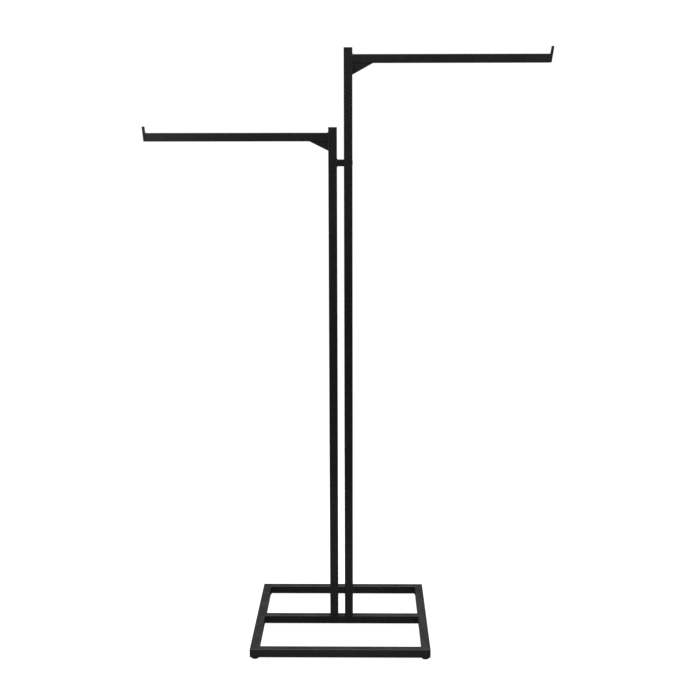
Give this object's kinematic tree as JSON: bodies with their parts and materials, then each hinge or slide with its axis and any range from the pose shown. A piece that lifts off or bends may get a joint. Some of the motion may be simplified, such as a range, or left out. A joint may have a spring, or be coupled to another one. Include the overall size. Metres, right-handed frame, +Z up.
{
  "type": "two-way clothing rack",
  "caption": "Free-standing black steel garment rack: a tall and a short square post on an open square base, each with one straight hanger arm, gusset and upturned lip, on levelling feet.",
  "frame": {"origin": "on the floor under the middle of the square base, 6.5 mm below the middle of the base's underside and midway between the two posts", "axes": "+Z up the posts, +X towards the taller post's arm, -Y towards the front; the shorter post's arm points to -X"},
  "size_m": [1.2075, 0.5334, 1.7771],
  "materials": {
    "black_powder_coat": "matte black powder coat with a fine texture",
    "black_nylon": "moulded black nylon, satin",
    "zinc_steel": "bright zinc-plated steel"
  },
  "bodies": {
    "root": {"base_front_rail": "black_powder_coat", "base_rear_rail": "black_powder_coat", "base_left_rail": "black_powder_coat", "base_right_rail": "black_powder_coat", "base_centre_rail": "black_powder_coat", "tall_post": "black_powder_coat", "short_post": "black_powder_coat", "tall_post_cap": "black_nylon", "short_post_cap": "black_nylon", "tall_post_threaded_plug": "zinc_steel", "short_post_threaded_plug": "zinc_steel", "post_bolts": "zinc_steel", "post_bolt_washers": "zinc_steel", "post_spacer": "black_powder_coat", "spacer_threaded_plug": "zinc_steel", "spacer_screw": "zinc_steel", "spacer_screw_washer": "zinc_steel", "screw_hole_plug": "black_nylon", "right_arm": "black_powder_coat", "left_arm": "black_powder_coat", "right_gusset": "black_powder_coat", "left_gusset": "black_powder_coat", "right_lip": "black_powder_coat", "left_lip": "black_powder_coat", "foot_inserts": "zinc_steel"},
    "front_left_foot": {"front_left_foot_pad": "black_nylon"},
    "front_left_stud": {"front_left_foot_stud": "zinc_steel"},
    "front_right_foot": {"front_right_foot_pad": "black_nylon"},
    "front_right_stud": {"front_right_foot_stud": "zinc_steel"},
    "rear_left_foot": {"rear_left_foot_pad": "black_nylon"},
    "rear_left_stud": {"rear_left_foot_stud": "zinc_steel"},
    "rear_right_foot": {"rear_right_foot_pad": "black_nylon"},
    "rear_right_stud": {"rear_right_foot_stud": "zinc_steel"}
  },
  "joints": [
    {"name": "front_left_foot_level", "type": "slide", "parent": "root", "child": "front_left_foot", "axis": [0, 0, 1], "range_m": [-0.01, 0]},
    {"name": "front_left_stud_turn", "type": "hinge", "parent": "front_left_foot", "child": "front_left_stud", "pos_m": [-0.2517, -0.2517, 0], "axis": [0, 0, 1], "range_deg": [-2880, 0]},
    {"name": "front_right_foot_level", "type": "slide", "parent": "root", "child": "front_right_foot", "axis": [0, 0, 1], "range_m": [-0.01, 0]},
    {"name": "front_right_stud_turn", "type": "hinge", "parent": "front_right_foot", "child": "front_right_stud", "pos_m": [0.2517, -0.2517, 0], "axis": [0, 0, 1], "range_deg": [-2880, 0]},
    {"name": "rear_left_foot_level", "type": "slide", "parent": "root", "child": "rear_left_foot", "axis": [0, 0, 1], "range_m": [-0.01, 0]},
    {"name": "rear_left_stud_turn", "type": "hinge", "parent": "rear_left_foot", "child": "rear_left_stud", "pos_m": [-0.2517, 0.2517, 0], "axis": [0, 0, 1], "range_deg": [-2880, 0]},
    {"name": "rear_right_foot_level", "type": "slide", "parent": "root", "child": "rear_right_foot", "axis": [0, 0, 1], "range_m": [-0.01, 0]},
    {"name": "rear_right_stud_turn", "type": "hinge", "parent": "rear_right_foot", "child": "rear_right_stud", "pos_m": [0.2517, 0.2517, 0], "axis": [0, 0, 1], "range_deg": [-2880, 0]}
  ],
  "couplings": [
    {"joint": "front_left_stud_turn", "follows": "front_left_foot_level", "rad_per_m": 5026},
    {"joint": "front_right_stud_turn", "follows": "front_right_foot_level", "rad_per_m": 5026},
    {"joint": "rear_left_stud_turn", "follows": "rear_left_foot_level", "rad_per_m": 5026},
    {"joint": "rear_right_stud_turn", "follows": "rear_right_foot_level", "rad_per_m": 5026}
  ]
}
